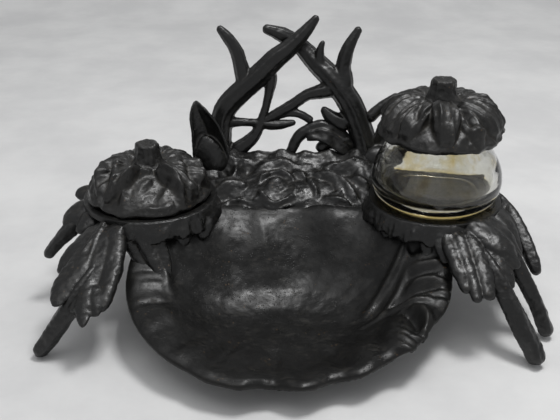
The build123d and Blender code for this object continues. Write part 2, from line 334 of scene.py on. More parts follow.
def noise_at(tree, place, per_mm, detail=3.0, rough=0.55, stretch=None):
    """A cloudy pattern with per_mm cells to the millimetre, drawn out by stretch."""
    if stretch:
        squeeze = put(tree, "ShaderNodeVectorMath", operation="MULTIPLY")
        squeeze.inputs[1].default_value = stretch
        tree.links.new(place, squeeze.inputs[0])
        place = squeeze.outputs[0]
    node = put(tree, "ShaderNodeTexNoise")
    node.inputs["Scale"].default_value = per_mm
    node.inputs["Detail"].default_value = detail
    node.inputs["Roughness"].default_value = rough
    tree.links.new(place, node.inputs["Vector"])
    return node.outputs["Fac"]


def make_casting_grain():
    """Height of the fine pits and pimples that sand leaves on iron, under its paint."""
    group, given, result = new_group("casting_grain", {"Grain": 0.5, "Pits": 0.5}, ["Height"])
    place = place_mm(group)
    fine = noise_at(group, place, 1.9, 4.0, 0.6)
    broad = noise_at(group, place, 0.42, 2.0)
    cells = put(group, "ShaderNodeTexVoronoi")
    cells.inputs["Scale"].default_value = 0.85
    group.links.new(place, cells.inputs["Vector"])
    pit = between(group, cells.outputs["Distance"], 0.05, 0.34)
    wanted = between(group, noise_at(group, place, 0.21, 1.0), 0.45, 0.62)
    pit = maths(group, "SUBTRACT", pit, 1.0)
    pit = maths(group, "MULTIPLY", maths(group, "MULTIPLY", pit, wanted), given.outputs["Pits"])
    grain = maths(group, "MULTIPLY", maths(group, "ADD", fine, broad), given.outputs["Grain"])
    group.links.new(maths(group, "ADD", grain, pit), result.inputs["Height"])
    return group


def make_settled_dust():
    """Where grey-brown dust lies: hollows and upward faces, in patches."""
    group, given, result = new_group("settled_dust", {"Amount": 0.5, "Hollow": 0.5}, ["Mask"])
    place = place_mm(group)
    surface = put(group, "ShaderNodeNewGeometry")
    axis = put(group, "ShaderNodeSeparateXYZ")
    group.links.new(surface.outputs["Normal"], axis.inputs[0])
    upward = between(group, axis.outputs["Z"], 0.1, 0.95)
    hollow = between(group, surface.outputs["Pointiness"], 0.50, 0.42)
    patch = between(group, noise_at(group, place, 0.11, 5.0, 0.65), 0.42, 0.66)
    streak = between(group, noise_at(group, place, 0.5, 3.0, 0.6, (0.5, 1.0, 1.0)), 0.45, 0.68)
    lying = maths(group, "MULTIPLY", maths(group, "MULTIPLY", upward, patch), streak)
    deep = maths(group, "MULTIPLY", hollow, given.outputs["Hollow"])
    total = maths(group, "ADD", maths(group, "MULTIPLY", lying, given.outputs["Amount"]), deep, clamp=True)
    group.links.new(total, result.inputs["Mask"])
    return group


def make_rubbed_edges():
    """Where handling has rubbed the paint on ridges and corners."""
    group, given, result = new_group("rubbed_edges", {"Amount": 0.5}, ["Mask"])
    surface = put(group, "ShaderNodeNewGeometry")
    ridge = between(group, surface.outputs["Pointiness"], 0.53, 0.60)
    patch = between(group, noise_at(group, place_mm(group), 0.3, 4.0, 0.6), 0.4, 0.65)
    worn = maths(group, "MULTIPLY", maths(group, "MULTIPLY", ridge, patch), given.outputs["Amount"])
    group.links.new(worn, result.inputs["Mask"])
    return group


def make_rust_specks():
    """Small sparse specks of rust and of old gilt."""
    group, given, result = new_group("rust_specks", {"Amount": 0.5}, ["Mask"])
    place = place_mm(group)
    cells = put(group, "ShaderNodeTexVoronoi")
    cells.inputs["Scale"].default_value = 0.55
    group.links.new(place, cells.inputs["Vector"])
    dot = between(group, cells.outputs["Distance"], 0.26, 0.10)
    sparse = between(group, noise_at(group, place, 0.13, 2.0), 0.60, 0.68)
    speck = maths(group, "MULTIPLY", maths(group, "MULTIPLY", dot, sparse), given.outputs["Amount"])
    group.links.new(speck, result.inputs["Mask"])
    return group


GRAIN = make_casting_grain()
DUST = make_settled_dust()
RUBBED = make_rubbed_edges()
SPECKS = make_rust_specks()
GREY_DUST = (0.050, 0.045, 0.037)
DARK_DUST = (0.024, 0.0222, 0.0190)  # oily dust in the pen tray
BARE_IRON = (0.040, 0.038, 0.035)
RUST = (0.14, 0.085, 0.04)
BUMP_RISE = 0.35  # how high the painted grain stands, in millimetres


def placed(tree, group, **amounts):
    """A shared effect placed in a material with its own amounts."""
    node = put(tree, "ShaderNodeGroup", node_tree=group)
    for label, amount in amounts.items():
        node.inputs[label].default_value = amount
    return node


def blend_colour(tree, mask, first, second):
    """A colour that goes from first to second as the mask goes from 0 to 1."""
    mix = put(tree, "ShaderNodeMix", data_type="RGBA")
    tree.links.new(mask, mix.inputs["Factor"])
    for socket, value in ((mix.inputs["A"], first), (mix.inputs["B"], second)):
        if isinstance(value, tuple):
            socket.default_value = (*value, 1.0)
        else:
            tree.links.new(value, socket)
    return mix.outputs["Result"]


def japanned_iron(name, black, gloss, dust, hollow, rubbed, grain, pits, specks, bump, dirt=GREY_DUST,
                  shine=0.5):
    """Black japanned cast iron: asphalt paint over a sand casting, with dust, rubbing and specks.
    gloss is the roughness of clean paint; dust to specks are amounts from 0 to 1."""
    material = bpy.data.materials.new(name)
    material.use_nodes = True
    tree = material.node_tree
    shader = tree.nodes["Principled BSDF"]
    shader.inputs["Specular IOR Level"].default_value = shine
    place = place_mm(tree)
    tone = between(tree, noise_at(tree, place, 0.06, 4.0, 0.6), 0.3, 0.7)
    colour = blend_colour(tree, tone, black, tuple(channel * 1.7 for channel in black))
    dusty = placed(tree, DUST, Amount=dust, Hollow=hollow)
    colour = blend_colour(tree, dusty.outputs["Mask"], colour, dirt)
    worn = placed(tree, RUBBED, Amount=rubbed)
    colour = blend_colour(tree, worn.outputs["Mask"], colour, BARE_IRON)
    rusty = placed(tree, SPECKS, Amount=specks)
    colour = blend_colour(tree, rusty.outputs["Mask"], colour, RUST)
    tree.links.new(colour, shader.inputs["Base Color"])
    skin = placed(tree, GRAIN, Grain=grain, Pits=pits)
    rough = between(tree, noise_at(tree, place, 0.16, 4.0, 0.6), 0.3, 0.7, gloss, gloss + 0.13)
    rough = maths(tree, "ADD", rough, maths(tree, "MULTIPLY", dusty.outputs["Mask"], 0.38), clamp=True)
    rough = maths(tree, "ADD", rough, maths(tree, "MULTIPLY", rusty.outputs["Mask"], 0.3), clamp=True)
    tree.links.new(rough, shader.inputs["Roughness"])
    bump_node = put(tree, "ShaderNodeBump")
    bump_node.inputs["Strength"].default_value = bump
    bump_node.inputs["Distance"].default_value = BUMP_RISE * MM
    tree.links.new(skin.outputs["Height"], bump_node.inputs["Height"])
    tree.links.new(bump_node.outputs["Normal"], shader.inputs["Normal"])
    return material


TRAY_BLACK = japanned_iron(
    "tray_japan", (0.0050, 0.0050, 0.0048), gloss=0.27, dust=0.62, hollow=0.35, rubbed=0.35, grain=0.45,
    pits=1.0, specks=0.60, bump=0.35, dirt=DARK_DUST, shine=0.28)
LEAF_BLACK = japanned_iron(
    "leaf_japan", (0.0045, 0.0045, 0.0043), gloss=0.26, dust=0.35, hollow=0.55, rubbed=0.5, grain=0.55,
    pits=0.8, specks=0.5, bump=0.45)
ANTLER_BLACK = japanned_iron(
    "antler_japan", (0.0045, 0.0045, 0.0043), gloss=0.30, dust=0.15, hollow=0.45, rubbed=0.5, grain=0.45,
    pits=0.5, specks=0.3, bump=0.40)
LID_BLACK = japanned_iron(
    "lid_japan", (0.0060, 0.0058, 0.0053), gloss=0.30, dust=0.35, hollow=0.6, rubbed=0.55, grain=0.6,
    pits=0.9, specks=0.5, bump=0.50)


def clear_glass():
    """Clear moulded glass, faintly smoky, with an amber stain round the heel."""
    material = bpy.data.materials.new("pot_glass")
    material.use_nodes = True
    tree = material.node_tree
    shader = tree.nodes["Principled BSDF"]
    shader.inputs["Transmission Weight"].default_value = 1.0
    shader.inputs["IOR"].default_value = 1.5
    place = place_mm(tree)
    axis = put(tree, "ShaderNodeSeparateXYZ")
    tree.links.new(place, axis.inputs[0])
    wave = noise_at(tree, place, 0.09, 3.0)
    height = maths(tree, "ADD", axis.outputs["Z"], maths(tree, "MULTIPLY", wave, 3.0))
    heel = between(tree, height, 60.0, 56.5)
    low = between(tree, height, 76.0, 62.0)
    cloudy = between(tree, noise_at(tree, place, 0.07, 4.0, 0.6), 0.42, 0.7)
    colour = blend_colour(tree, cloudy, (0.95, 0.95, 0.93), (0.82, 0.81, 0.74))
    colour = blend_colour(tree, low, colour, (0.78, 0.775, 0.71))
    stain = between(tree, noise_at(tree, place, 0.055, 5.0, 0.65, (1.0, 1.0, 0.45)), 0.52, 0.62)
    colour = blend_colour(tree, stain, colour, (0.76, 0.66, 0.40))
    colour = blend_colour(tree, heel, colour, (0.74, 0.55, 0.17))
    tree.links.new(colour, shader.inputs["Base Color"])
    rough = between(tree, cloudy, 0.0, 1.0, 0.015, 0.10)
    tree.links.new(rough, shader.inputs["Roughness"])
    bump_node = put(tree, "ShaderNodeBump")
    bump_node.inputs["Strength"].default_value = 0.12
    bump_node.inputs["Distance"].default_value = 0.6 * MM
    tree.links.new(noise_at(tree, place, 0.12, 2.0), bump_node.inputs["Height"])
    tree.links.new(bump_node.outputs["Normal"], shader.inputs["Normal"])
    return material


GLASS = clear_glass()


def dull_steel():
    """Bare steel screws with patches of rust."""
    material = bpy.data.materials.new("screw_steel")
    material.use_nodes = True
    tree = material.node_tree
    shader = tree.nodes["Principled BSDF"]
    shader.inputs["Metallic"].default_value = 0.9
    rusty = between(tree, noise_at(tree, place_mm(tree), 0.7, 4.0, 0.65), 0.42, 0.62)
    colour = blend_colour(tree, rusty, (0.32, 0.31, 0.30), (0.16, 0.075, 0.035))
    tree.links.new(colour, shader.inputs["Base Color"])
    tree.links.new(between(tree, rusty, 0.0, 1.0, 0.38, 0.8), shader.inputs["Roughness"])
    return material


STEEL = dull_steel()


WELL_X, WELL_Y = 74.0, 18.0  # middle of each well, to the left and right of the stand's own

# ---- pen tray --------------------------------------------------------------------------------------
TRAY_MIDDLE = (-1.0, -37.0)
TRAY_RIM = [  # the edge's course, in order round the tray from the back right corner to the front
    (75, -1), (78.5, -13), (77.5, -29), (74.5, -42), (68, -53), (61.5, -63), (56.5, -68), (53, -74),
    (46, -74), (40.5, -77.5), (35, -83), (28.5, -86.5), (21.5, -85.5), (15.5, -87.5), (9.5, -92.5),
    (3, -94.5), (-3, -92.5), (-9, -89.5), (-15, -90.5), (-22.5, -93.5), (-30.5, -91.5), (-39, -89),
    (-48, -82.5), (-55, -78.5), (-64, -70), (-72, -59), (-78.5, -45), (-81, -32), (-80.5, -22),
    (-77, -11), (-70, 2), (-58, 12), (-42, 18), (-20, 21), (5, 21.5), (28, 19.5), (46, 15), (63, 8),
]
TRAY_SECTIONS = {  # heading in degrees (0 is +X, 90 the back): heights from the middle out to the edge
    -180: (8.6, 9.0, 11.0, 15.5, 22.0, 26.6, 28.4, 29.0),
    -155: (8.6, 8.8, 9.8, 12.8, 17.4, 20.2, 21.4, 21.6),
    -120: (8.6, 8.5, 8.9, 9.9, 11.8, 14.0, 15.9, 16.5),
    -90: (8.6, 8.4, 8.5, 9.1, 10.5, 12.6, 14.8, 15.8),
    -60: (8.6, 8.4, 8.7, 9.8, 11.8, 14.0, 15.8, 16.6),
    -25: (8.6, 8.8, 9.8, 12.8, 17.6, 21.6, 22.6, 22.6),
    0: (8.6, 9.0, 10.6, 14.4, 21.0, 26.6, 28.0, 28.6),
    12: (8.6, 9.3, 12.0, 17.5, 25.5, 33.0, 37.0, 40.0),
    25: (8.6, 9.6, 14.0, 23.0, 35.0, 43.0, 47.5, 49.0),
    50: (8.6, 9.8, 14.5, 22.0, 31.5, 38.5, 44.5, 49.0),
    70: (8.6, 9.7, 13.8, 20.5, 28.6, 35.0, 41.0, 46.5),
    90: (8.6, 9.8, 14.0, 20.5, 29.0, 35.5, 41.5, 47.0),
    110: (8.6, 9.7, 13.8, 20.5, 28.6, 35.0, 41.0, 46.5),
    127: (8.6, 9.8, 14.5, 22.0, 31.5, 38.5, 44.5, 49.5),
    150: (8.6, 9.6, 14.5, 25.0, 38.0, 46.0, 49.5, 50.5),
    164: (8.6, 9.3, 12.5, 18.5, 27.0, 34.0, 38.0, 41.0),
}
SECTION_SHARES = (0.0, 0.2, 0.4, 0.55, 0.68, 0.78, 0.88, 1.0)
TRAY_FOLDS = [  # course of each fold or valley in plan, its height (below 0 for a valley) and its width
    ([(66, 8), (60, -3), (54, -13), (48, -21), (41, -28), (32, -38)], 2.6, 2.2),
    ([(63, 3), (68, 5), (74, 4)], 1.8, 1.6),
    ([(61, -3), (67, -2), (75, -4)], -1.6, 1.8),
    ([(60, -9), (66, -8), (76, -9)], 1.6, 1.5),
    ([(57, -15), (61, -14), (66, -14)], -2.8, 2.6),
    ([(63, -17), (69, -16.5), (75, -19)], 2.4, 1.5),
    ([(56, -22), (64, -23), (75, -24)], 1.4, 1.5),
    ([(55, -27), (62, -27), (74, -28)], -1.4, 1.6),
    ([(54, -32), (62, -31), (74, -33)], 2.2, 1.5),
    ([(46, -38), (58, -36), (70, -36)], -1.8, 1.8),
    ([(40, -41), (52, -41), (66, -42)], 1.8, 1.6),
    ([(31, -45), (42, -40), (50, -31), (57, -19)], 1.7, 1.7),
    ([(50, -45), (54, -51), (56, -58), (55, -65)], -3.2, 2.4),
    ([(55, -44), (60, -50), (61, -57), (58, -63)], 2.8, 2.2),
    ([(44, -48), (47, -58), (49, -70)], 1.2, 3.6),
    ([(36, -50), (38, -62), (40, -78)], -1.2, 3.4),
    ([(28, -52), (30, -66), (33, -84)], 0.7, 4.0),
    ([(17, -54), (19, -68), (24, -86)], -1.2, 3.6),
    ([(-9, -56), (-9, -72), (-9, -92)], -1.4, 4.0),
    ([(-17, -54), (-21, -70), (-24, -90)], 0.7, 4.5),
    ([(-27, -52), (-32, -66), (-37, -84)], -1.3, 3.2),
    ([(-41, -52), (-47, -62), (-55, -74)], -1.1, 2.8),
    ([(-34, -52), (-40, -64), (-46, -78)], 0.7, 4.5),
    ([(-52, -44), (-60, -52), (-70, -61)], 0.6, 4.0),
    ([(-60, -24), (-69, -26), (-78, -28)], -0.5, 1.4),
    ([(-59, -31), (-68, -33), (-78, -36)], 0.5, 2.0),
    ([(-58, -41), (-67, -44), (-74, -47)], -0.6, 1.6),
    ([(-80, 3), (-74, -6), (-67, -17), (-61, -27), (-57, -38)], 1.6, 2.2),
    ([(-72, 6), (-67, -4), (-62, -15), (-58, -25)], 1.8, 2.0),
    ([(-76, 4), (-70, -6), (-64, -16)], -2.0, 1.6),
    ([(-64, 8), (-60, -1), (-57, -10), (-56, -18)], 1.5, 2.0),
]
TRAY_SWELLS = [  # middle of each soft bulge in the back wall, its height and its breadth
    ((-15.0, -1.0), 5.6, 13.5),
    ((18.4, 12.0), 3.4, 9.0),
    ((38, 6), -1.4, 10),
    ((2, 10), -1.2, 8),
]


def lie_along(x, y, course, width):
    """1 on a course, falling to 0 a few widths away, and tapering off at the course's two ends."""
    line = spread(course, 40)
    away = np.full(x.shape, 1e9)
    near = np.zeros(x.shape)
    for index, (plan_x, plan_y) in enumerate(line):
        distance = (x - plan_x) ** 2 + (y - plan_y) ** 2
        closer = distance < away
        away = np.where(closer, distance, away)
        near = np.where(closer, index / (len(line) - 1), near)
    taper = np.clip(np.minimum(near, 1 - near) * 3.5, 0, 1) ** 0.8
    return np.exp(-away / width**2) * taper


def tray_form():
    """Upper face of the tray as spokes from its middle to its rim, and the metal's own thickness
    below it, as one closed form."""
    spokes = 560
    steps = 112
    metal = 2.8
    rim = np.array(TRAY_RIM, float) - TRAY_MIDDLE
    angle = np.unwrap(np.arctan2(rim[:, 1], rim[:, 0]))
    reach = np.hypot(rim[:, 0], rim[:, 1])
    order = np.argsort(angle)
    angle = angle[order]
    reach = reach[order]
    turn = np.linspace(-math.pi, math.pi, spokes, endpoint=False)
    wide = np.concatenate([angle - 2 * math.pi, angle, angle + 2 * math.pi])
    edge = np.interp(turn, wide, np.tile(reach, 3))
    for _ in range(5):
        edge = (np.roll(edge, 1) + 2 * edge + np.roll(edge, -1)) / 4
    broad = edge.copy()
    for _ in range(400):
        broad = (np.roll(broad, 1) + 2 * broad + np.roll(broad, -1)) / 4
    notch = edge - broad
    heading = np.degrees(turn)
    bead = 1.3 + 0.35 * np.exp(-(((heading + 90) / 70) ** 2)) + 0.18 * np.cos(turn * 23)
    reach = edge - bead
    share = np.linspace(0, 1, steps)[:, None] ** 0.85
    at = sorted(TRAY_SECTIONS)
    columns = []
    for index in range(len(SECTION_SHARES)):
        known = [TRAY_SECTIONS[one][index] for one in at]
        height = np.interp(heading, at + [180], known + [known[0]])
        for _ in range(120):
            height = (np.roll(height, 1) + 2 * height + np.roll(height, -1)) / 4
        columns.append(height)
    columns = np.array(columns)
    z = np.empty((steps, spokes))
    for index in range(spokes):
        z[:, index] = np.interp(share[:, 0], SECTION_SHARES, columns[:, index])
    for _ in range(14):
        z[1:-1] = (z[:-2] + 2 * z[1:-1] + z[2:]) / 4
    x = TRAY_MIDDLE[0] + reach * share * np.cos(turn)
    y = TRAY_MIDDLE[1] + reach * share * np.sin(turn)
    for course, height, width in TRAY_FOLDS:
        z = z + height * lie_along(x, y, course, width)
    for (bx, by), height, breadth in TRAY_SWELLS:
        z = z + height * np.exp(-((x - bx) ** 2 + (y - by) ** 2) / breadth**2)
    near = np.clip((share - 0.72) / 0.28, 0, 1)
    z = z + 0.55 * notch * near**1.5 - 1.4 * np.clip((share - 0.93) / 0.07, 0, 1) ** 2
    right = np.exp(-(((heading - 5) / 42) ** 4))
    z = z + right * near * 0.45 * np.cos(turn * 61 + 3 * np.sin(turn * 13) + 9 * share)
    top = np.stack([x, y, z], axis=2)
    down = np.gradient(top, axis=0)
    round_way = (np.roll(top, -1, axis=1) - np.roll(top, 1, axis=1)) / 2
    normal = unit(np.cross(down, round_way))
    normal[0] = (0, 0, 1)
    outward = unit(down[-1])
    lip = []
    centre = top[-1] - normal[-1] * bead[:, None]
    for step in range(1, 10):
        bend = math.pi * step / 10
        lip.append(centre + (normal[-1] * math.cos(bend) + outward * math.sin(bend)) * bead[:, None])
    thick = metal + (2 * bead - metal)[None, :] * np.clip((share - 0.88) / 0.12, 0, 1) ** 2
    flat = top.copy()
    flat_z = flat[:, :, 2]
    for _ in range(6):
        flat_z[1:-1] = (flat_z[:-2] + 2 * flat_z[1:-1] + flat_z[2:]) / 4
    under = (flat - normal * thick[:, :, None])[::-3]
    rings = np.concatenate([top[1:], np.array(lip), under])
    return rings.reshape(-1, 3), ring_faces(len(rings), spokes)


def make_pen_tray():
    points, faces = tray_form()
    thing = mesh_object("tray_casting", points, faces)
    face_of_tray = BVHTree.FromPolygons([tuple(point) for point in points], faces)
    roughen(thing, 0.6, 0.14)
    settle(thing)
    dress(thing, "pen_tray", "stand", TRAY_BLACK)
    return face_of_tray


TRAY_FACE = make_pen_tray()


# ---- left leaf spray ---------------------------------------------------------------------------------
def petal(clay, points, radii, face, flat=0.42, grooves=0, depth=0.0):
    """A plump leaf lobe: a stalk flattened towards the way that it faces."""
    stalk(clay, points, radii, flat=flat, way=face, grooves=grooves, depth=depth, blunt=1.0, ring=36)


def make_left_spray():
    clay = heap()
    face = (-0.25, -0.5, 0.83)
    petal(clay, [(-89, -2, 50), (-93, -16, 47), (-97, -30, 39.5), (-99.5, -43, 32), (-98, -54, 27)],
          [6, 9, 10, 8.5, 4.5], face, 0.30)
    petal(clay, [(-86, -4, 50.5), (-86.5, -15, 48.5), (-86, -26, 43), (-86, -37, 37.5), (-87.5, -47, 32),
                 (-88.5, -55, 28)], [4.2, 5.6, 5.8, 5.4, 4.8, 3.4], face, 0.62, 3, 0.05)
    petal(clay, [(-96, -8, 48.5), (-102, -19, 43.5), (-108, -26, 38), (-113, -30, 34)],
          [4.5, 6.4, 5.4, 2.4], face)
    petal(clay, [(-96, -16, 47), (-101, -30, 40), (-107, -42, 33), (-110, -52, 28.5)],
          [4.5, 7, 6.4, 2.6], face, 0.38)
    petal(clay, [(-97, -38, 35.5), (-96.5, -50, 29.5), (-95.8, -58, 26), (-95.3, -62, 24.3)],
          [5, 5, 3, 1], face, 0.55)
    petal(clay, [(-92, -42, 34.5), (-91, -51, 30), (-90, -57.5, 27)], [4.6, 4.4, 2.2], face, 0.55)
    stalk(clay, [(-92, -6, 51), (-94, -15, 49), (-97, -29, 42.5), (-99, -42, 35), (-98, -52, 30)],
          [1.7, 1.7, 1.5, 1.2, 0.7])
    stalk(clay, [(-95, -16, 48.8), (-99, -24, 45), (-104, -31, 40.5)], [1.3, 1.2, 0.6])
    stalk(clay, [(-97.5, -30, 41.5), (-102, -38, 37), (-106, -46, 32.5)], [1.2, 1.1, 0.6])
    stalk(clay, [(-96, -22, 45.5), (-92.5, -31, 41.5), (-90.5, -40, 37)], [1.2, 1.1, 0.6])
    stalk(clay, [(-98, -36, 38.5), (-94.5, -44, 34.5), (-93, -50, 31.5)], [1.1, 1.0, 0.6])
    cast("left_front_leaf_casting", clay, "left_front_leaf", LEAF_BLACK, voxel=0.55, soften=1,
         swell=1.9, grit=0.4)

    leg = heap()
    stalk(leg, [(-88, -14, 42), (-95, -34, 36), (-103, -46, 27), (-112, -49.5, 14.5), (-121.9, -50.6, 1.2)],
          [4.6, 4.8, 4.6, 4.2, 3.5], grooves=5, depth=0.08, turns=0.7)
    cast("left_front_leg_casting", leg, "left_front_leg", ANTLER_BLACK, voxel=0.55, soften=1, swell=1.2,
         grit=0.7)

    twig = heap()
    stalk(twig, [(-98, 14, 44), (-108, 8, 44.5), (-118, 4, 36), (-128, 2, 25)], [4.6, 4.2, 3.8, 2.5],
          grooves=4, depth=0.08, turns=0.4)
    cast("left_side_twig_casting", twig, "left_side_twig", ANTLER_BLACK, voxel=0.55, soften=1,
         swell=1.2, grit=0.6)

    side = heap()
    away = (-0.35, -0.5, 0.8)
    petal(side, [(-94, 10, 49), (-104, 10, 48), (-112, 8, 45.5), (-118, 5, 42)], [7, 8.5, 7, 2.5], away,
          0.4)
    petal(side, [(-96, 4, 48.5), (-103, 1, 46.5), (-108, -5, 42.5)], [5, 6, 2.5], away, 0.45)
    petal(side, [(-94, 26, 48), (-105, 29, 48.5), (-117, 32, 48)], [6, 7, 3.2], (0, -0.5, 0.85), 0.45)
    petal(side, [(-94, 38, 47), (-103, 44, 46), (-110, 50, 43)], [6, 7, 2.5], (-0.3, 0.3, 0.9), 0.4)
    stalk(side, [(-96, 11, 51), (-106, 10, 50), (-115, 7, 46.5)], [1.3, 1.3, 0.8])
    cast("left_side_leaf_casting", side, "left_side_leaf", LEAF_BLACK, voxel=0.55, soften=1, swell=1.0,
         grit=0.45)

    rear = heap()
    stalk(rear, [(-66, 42, 42), (-68, 55, 36), (-72, 74, 19), (-75.8, 92.8, 1.7)], [5.4, 5.2, 4.6, 4.0],
          grooves=5, depth=0.07, turns=0.6)
    cast("left_rear_leg_casting", rear, "left_rear_leg", ANTLER_BLACK, swell=1.2, grit=0.6)


# ---- right leaf spray --------------------------------------------------------------------------------
def make_right_spray():
    clay = heap()
    face = (0.15, -0.5, 0.85)
    petal(clay, [(78, -8, 50.5), (81, -20, 46), (84, -32, 40.5), (86, -43, 34.5)], [6, 7.5, 7.5, 3.5],
          face, 0.3)
    petal(clay, [(74, -12, 48.5), (76.5, -24, 43.5), (78.5, -35, 38.5), (80.5, -46, 32.5)],
          [3.6, 4.4, 4.4, 2.4], face, 0.7)
    petal(clay, [(79, -14, 49), (81.5, -26, 43.5), (83.5, -38, 37.5), (84.8, -51, 30.5)],
          [3.4, 4.2, 4, 2.1], face, 0.7)
    petal(clay, [(84, -12, 49), (87, -24, 44), (89.5, -37, 38), (90.5, -50, 30.5)],
          [3.4, 4.4, 4.6, 2.9], face, 0.7)
    petal(clay, [(82, -4, 52), (91, -12, 49.5), (100, -21, 44), (108, -31, 36.5)], [4, 7.2, 7.4, 2.2],
          (0.35, -0.5, 0.8), 0.5)
    petal(clay, [(88, 0, 51.5), (96, -6, 50), (104, -15, 45), (110.5, -23.5, 38)], [4, 6, 5.6, 1.8],
          (0.4, -0.45, 0.8), 0.5)
    petal(clay, [(92, -14, 47), (96, -24, 42), (100, -33, 36.5), (103, -40, 31)], [4, 5.4, 5, 2.2],
          (0.2, -0.55, 0.8), 0.45)
    for groove in ([(83, -5, 52.6), (92, -14, 50), (100, -23, 44.6), (107, -31, 38)],
                   [(79, -10, 51.5), (82, -22, 46.8), (85, -35, 40.8)],
                   [(90, -1, 53.2), (98, -8, 51), (106, -18, 44.5)]):
        stalk(clay, groove, [1.0, 1.2, 0.7] if len(groove) == 3 else [1.0, 1.2, 1.0, 0.6])
    cast("right_front_leaf_casting", clay, "right_front_leaf", LEAF_BLACK, voxel=0.55, soften=1,
         swell=1.6, grit=0.4)

    leg = heap()
    stalk(leg, [(84, -12, 43), (91, -28, 39), (97.5, -38, 32), (106.5, -50, 17), (114.4, -59.6, 2.0)],
          [4.6, 5, 4.8, 4.6, 4.3], grooves=4, depth=0.11, turns=1.0)
    cast("right_front_leg_casting", leg, "right_front_leg", ANTLER_BLACK, voxel=0.55, soften=1,
         swell=1.2, grit=0.7)

    outer = heap()
    stalk(outer, [(96, -6, 44), (105, -20, 39), (112, -27, 29), (119.5, -32, 15), (125.2, -35.3, 1.6)],
          [4.4, 4.6, 4.2, 4, 3.7], grooves=4, depth=0.09, turns=0.8)
    cast("right_outer_leg_casting", outer, "right_outer_leg", ANTLER_BLACK, voxel=0.55, soften=1,
         swell=1.2, grit=0.6)

    twig = heap()
    stalk(twig, [(98, 26, 46), (107, 24, 48), (114, 9, 43), (119, -6, 34), (122, -17, 25)],
          [4.6, 4.6, 4.4, 4, 2.8], grooves=4, depth=0.08, turns=0.6)
    cast("right_side_twig_casting", twig, "right_side_twig", ANTLER_BLACK, voxel=0.55, soften=1,
         swell=1.2, grit=0.6)

    side = heap()
    away = (0.4, -0.35, 0.85)
    petal(side, [(96, 12, 49.5), (103, 4, 48.5), (108, -7, 44.5), (111.5, -18, 38)], [5, 6.5, 5.4, 2],
          away, 0.45)
    petal(side, [(98, 18, 49), (105, 12, 48), (110, 2, 45), (113, -8, 40)], [4, 5, 4.4, 1.8], away, 0.45)
    petal(side, [(96, 36, 47), (104, 42, 47), (111, 47, 44)], [6, 7, 2.5], (0.3, 0.3, 0.9), 0.4)
    cast("right_side_leaf_casting", side, "right_side_leaf", LEAF_BLACK, voxel=0.55, soften=1,
         swell=1.0, grit=0.45)

    rear = heap()
    stalk(rear, [(66, 42, 42), (68, 55, 36), (72, 74, 19), (75.8, 92.8, 1.7)], [5.4, 5.2, 4.6, 4.0],
          grooves=5, depth=0.07, turns=0.6)
    cast("right_rear_leg_casting", rear, "right_rear_leg", ANTLER_BLACK, swell=1.2, grit=0.6)


# ---- leaves that lap the tray's corners ----------------------------------------------------------------
RUFF_METAL = 2.6
RUFF_FOLD = 1.25  # height of its folds


def well_ruff(clay, side, start, end, reach, slope, tips):
    """The leaves that spread from under a well's rim and run down into the tray. start and end are
    headings in degrees, slope is the fall for each unit outwards."""
    seat = "left_well_seat" if side < 0 else "right_well_seat"
    low, high = (np.array(corner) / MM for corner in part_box(seat))
    outer = (high[0] - low[0]) / 2
    middle = (low + high) / 2
    cols = 320
    heading = np.linspace(start, end, cols)
    turn = np.radians(heading)
    share = np.linspace(0, 1, 44)[:, None]
    along = (heading - start) / (end - start)
    bend = 2 * math.pi * tips * along + 1.9 * np.sin(2 * math.pi * 1.7 * along + 1.0)
    lobes = np.abs(np.sin(bend / 2)) ** 0.6
    out = outer - 1.5 + share * (reach - outer + 1.5) * (0.72 + 0.28 * lobes)[None, :]
    level = high[2] - 0.35 - slope * np.clip(out - outer - 0.2, 0, None)
    fold = np.cos(bend + 2.2 * share) + 0.45 * np.cos(2.63 * bend - 3 * share)
    level = level + RUFF_FOLD * fold * np.clip((out - outer) / 4.5, 0, 1)
    level = level - 1.8 * np.clip((share - 0.8) / 0.2, 0, 1)
    fade = np.clip(np.minimum(heading - start, end - heading) / 12, 0, 1)[None, :]
    level = level - 3.5 * (1 - fade)
    top = np.stack([middle[0] + out * np.cos(turn), middle[1] + out * np.sin(turn), level], axis=2)
    slab(clay, top, np.full(top.shape[:2], RUFF_METAL))


